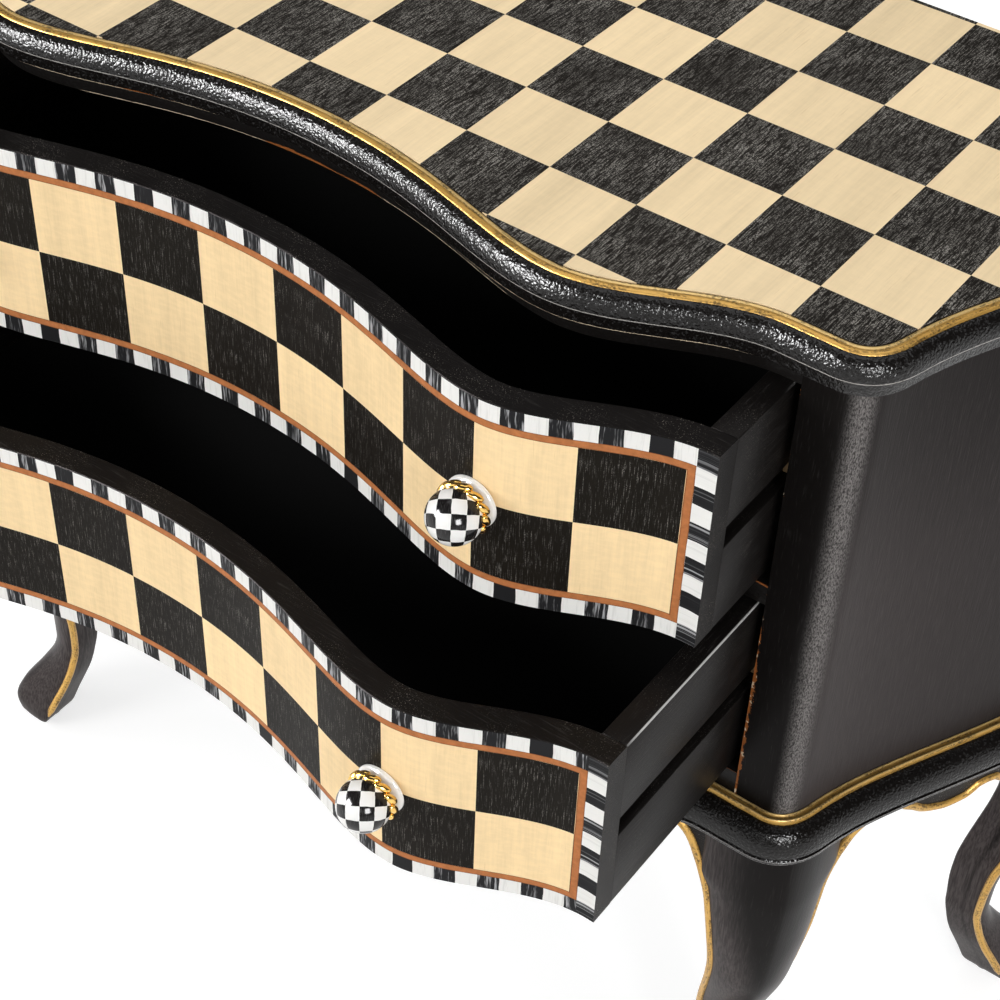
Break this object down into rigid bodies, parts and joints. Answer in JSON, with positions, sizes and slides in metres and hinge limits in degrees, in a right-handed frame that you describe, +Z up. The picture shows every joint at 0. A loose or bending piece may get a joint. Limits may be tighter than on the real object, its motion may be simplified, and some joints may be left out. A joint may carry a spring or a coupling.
{
  "type": "chest of drawers",
  "caption": "Serpentine-fronted chest of drawers on cabriole legs, with checkerboard veneer on the top and drawer fronts, gilt beads and ball knobs.",
  "frame": {"origin": "on the floor, under the middle of the whole outline with the drawers as stored, partly open", "axes": "+Z up, -Y out of the drawer fronts, +X to the right of someone facing the drawers"},
  "size_m": [1.079, 0.6021, 0.875],
  "materials": {
    "black_lacquer": "satin black paint over open-pored wood",
    "black_inside": "matt black stain",
    "checker_veneer": "satin veneer, plain light and dark squares",
    "plain_hardwood": "waxed",
    "gilt": "gold leaf with dark rubbed lines",
    "glazed_ceramic": null,
    "steel": "plain",
    "glide": "matt"
  },
  "bodies": {
    "case": {"top_panel": "black_lacquer", "top_veneer": "checker_veneer", "top_edge_moulding": "black_lacquer", "top_gilt_bead": "gilt", "left_side_panel": "black_lacquer", "right_side_panel": "black_lacquer", "left_corner_post": "black_lacquer", "right_corner_post": "black_lacquer", "back_panel": "black_lacquer", "top_rail": "black_lacquer", "divider_rail": "black_lacquer", "bottom_rail": "black_lacquer", "dust_panel": "black_inside", "left_guide_board": "black_inside", "right_guide_board": "black_inside", "upper_left_runner": "plain_hardwood", "upper_right_runner": "plain_hardwood", "lower_left_runner": "plain_hardwood", "lower_right_runner": "plain_hardwood", "runner_screws": "steel", "stop_battens": "black_lacquer", "rear_stops": "plain_hardwood", "back_panel_screws": "steel", "base_board": "black_lacquer", "base_moulding": "black_lacquer", "base_gilt_bead": "gilt", "front_apron": "black_lacquer", "left_apron": "black_lacquer", "right_apron": "black_lacquer", "back_apron": "black_lacquer", "front_left_leg": "black_lacquer", "front_right_leg": "black_lacquer", "back_left_leg": "black_lacquer", "back_right_leg": "black_lacquer", "leg_bolts": "steel", "foot_glides": "glide"},
    "upper_drawer": {"upper_front": "black_lacquer", "upper_front_veneer": "checker_veneer", "upper_left_side": "black_lacquer", "upper_right_side": "black_lacquer", "upper_back": "black_lacquer", "upper_bottom": "black_inside", "upper_stop_button": "plain_hardwood", "upper_left_knob": "glazed_ceramic", "upper_right_knob": "glazed_ceramic", "upper_knob_collars": "gilt", "upper_knob_screws": "steel"},
    "lower_drawer": {"lower_front": "black_lacquer", "lower_front_veneer": "checker_veneer", "lower_left_side": "black_lacquer", "lower_right_side": "black_lacquer", "lower_back": "black_lacquer", "lower_bottom": "black_inside", "lower_stop_button": "plain_hardwood", "lower_left_knob": "glazed_ceramic", "lower_right_knob": "glazed_ceramic", "lower_knob_collars": "gilt", "lower_knob_screws": "steel"}
  },
  "joints": [
    {"name": "upper_drawer_slide", "type": "slide", "parent": "case", "child": "upper_drawer", "axis": [0, -1, 0], "range_m": [-0.077, 0.143]},
    {"name": "lower_drawer_slide", "type": "slide", "parent": "case", "child": "lower_drawer", "axis": [0, -1, 0], "range_m": [-0.166, 0.054]}
  ]
}
